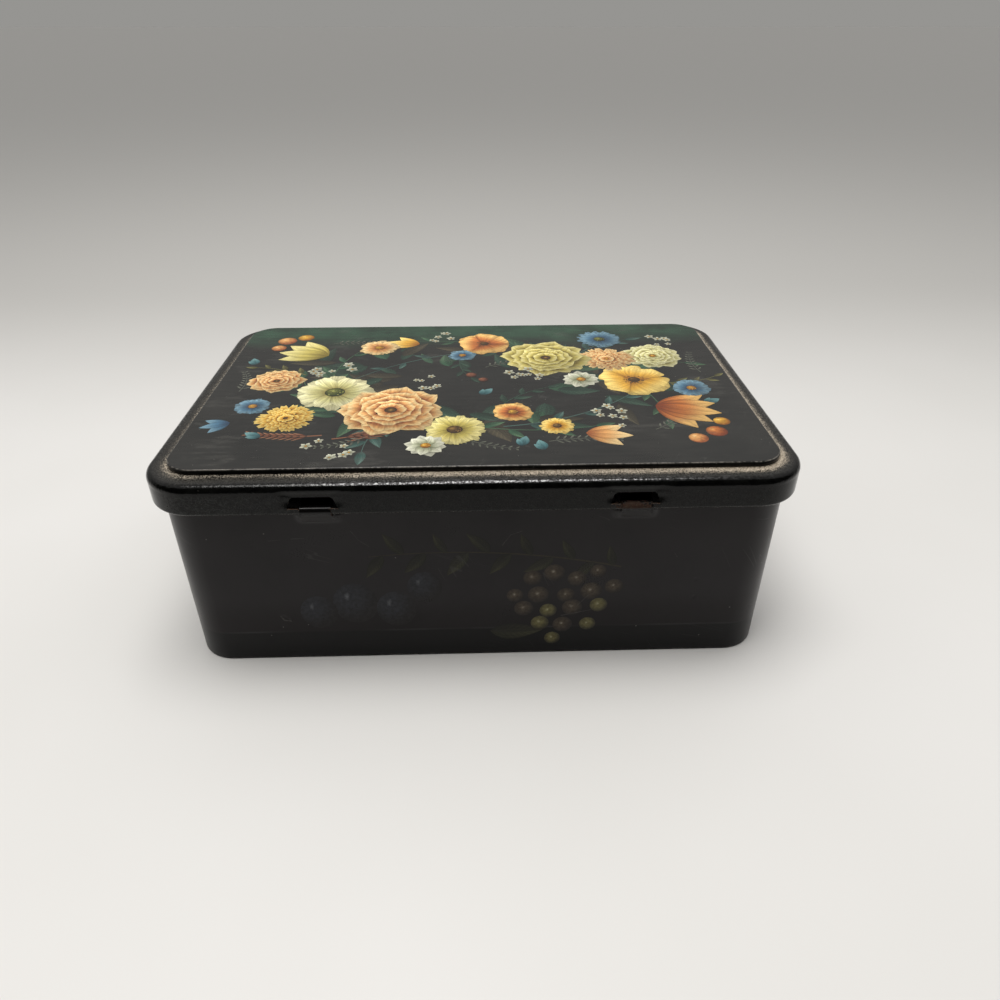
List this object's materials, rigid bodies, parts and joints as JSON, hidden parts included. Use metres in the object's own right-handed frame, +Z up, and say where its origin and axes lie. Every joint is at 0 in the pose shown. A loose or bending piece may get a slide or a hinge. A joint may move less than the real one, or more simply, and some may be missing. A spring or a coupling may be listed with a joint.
{
  "type": "card box",
  "caption": "Rectangular sheet-metal box for recipe cards, with rounded corners and an overlapping lid that is hinged at the back and has a raised panel.",
  "frame": {"origin": "middle of the footprint, on the surface that the box stands on", "axes": "+X along the long side, +Z up; the lid opens at the front (-Y) and is hinged at the back (+Y)"},
  "size_m": [0.2286, 0.1528, 0.0832],
  "materials": {
    "lid_tin": "gloss black printed tinplate with a floral panel, worn at the edges",
    "body_tin": "gloss black printed tinplate with faint fruit, small dents and scratches",
    "bottom_tin": "plain lacquered tinplate"
  },
  "bodies": {
    "box": {"body_wall": "body_tin", "bottom_panel": "bottom_tin"},
    "lid": {"lid": "lid_tin"}
  },
  "joints": [
    {"name": "lid_hinge", "type": "hinge", "parent": "box", "child": "lid", "pos_m": [0, 0.0749, 0.0705], "axis": [-1, 0, 0], "range_deg": [0, 180]}
  ]
}
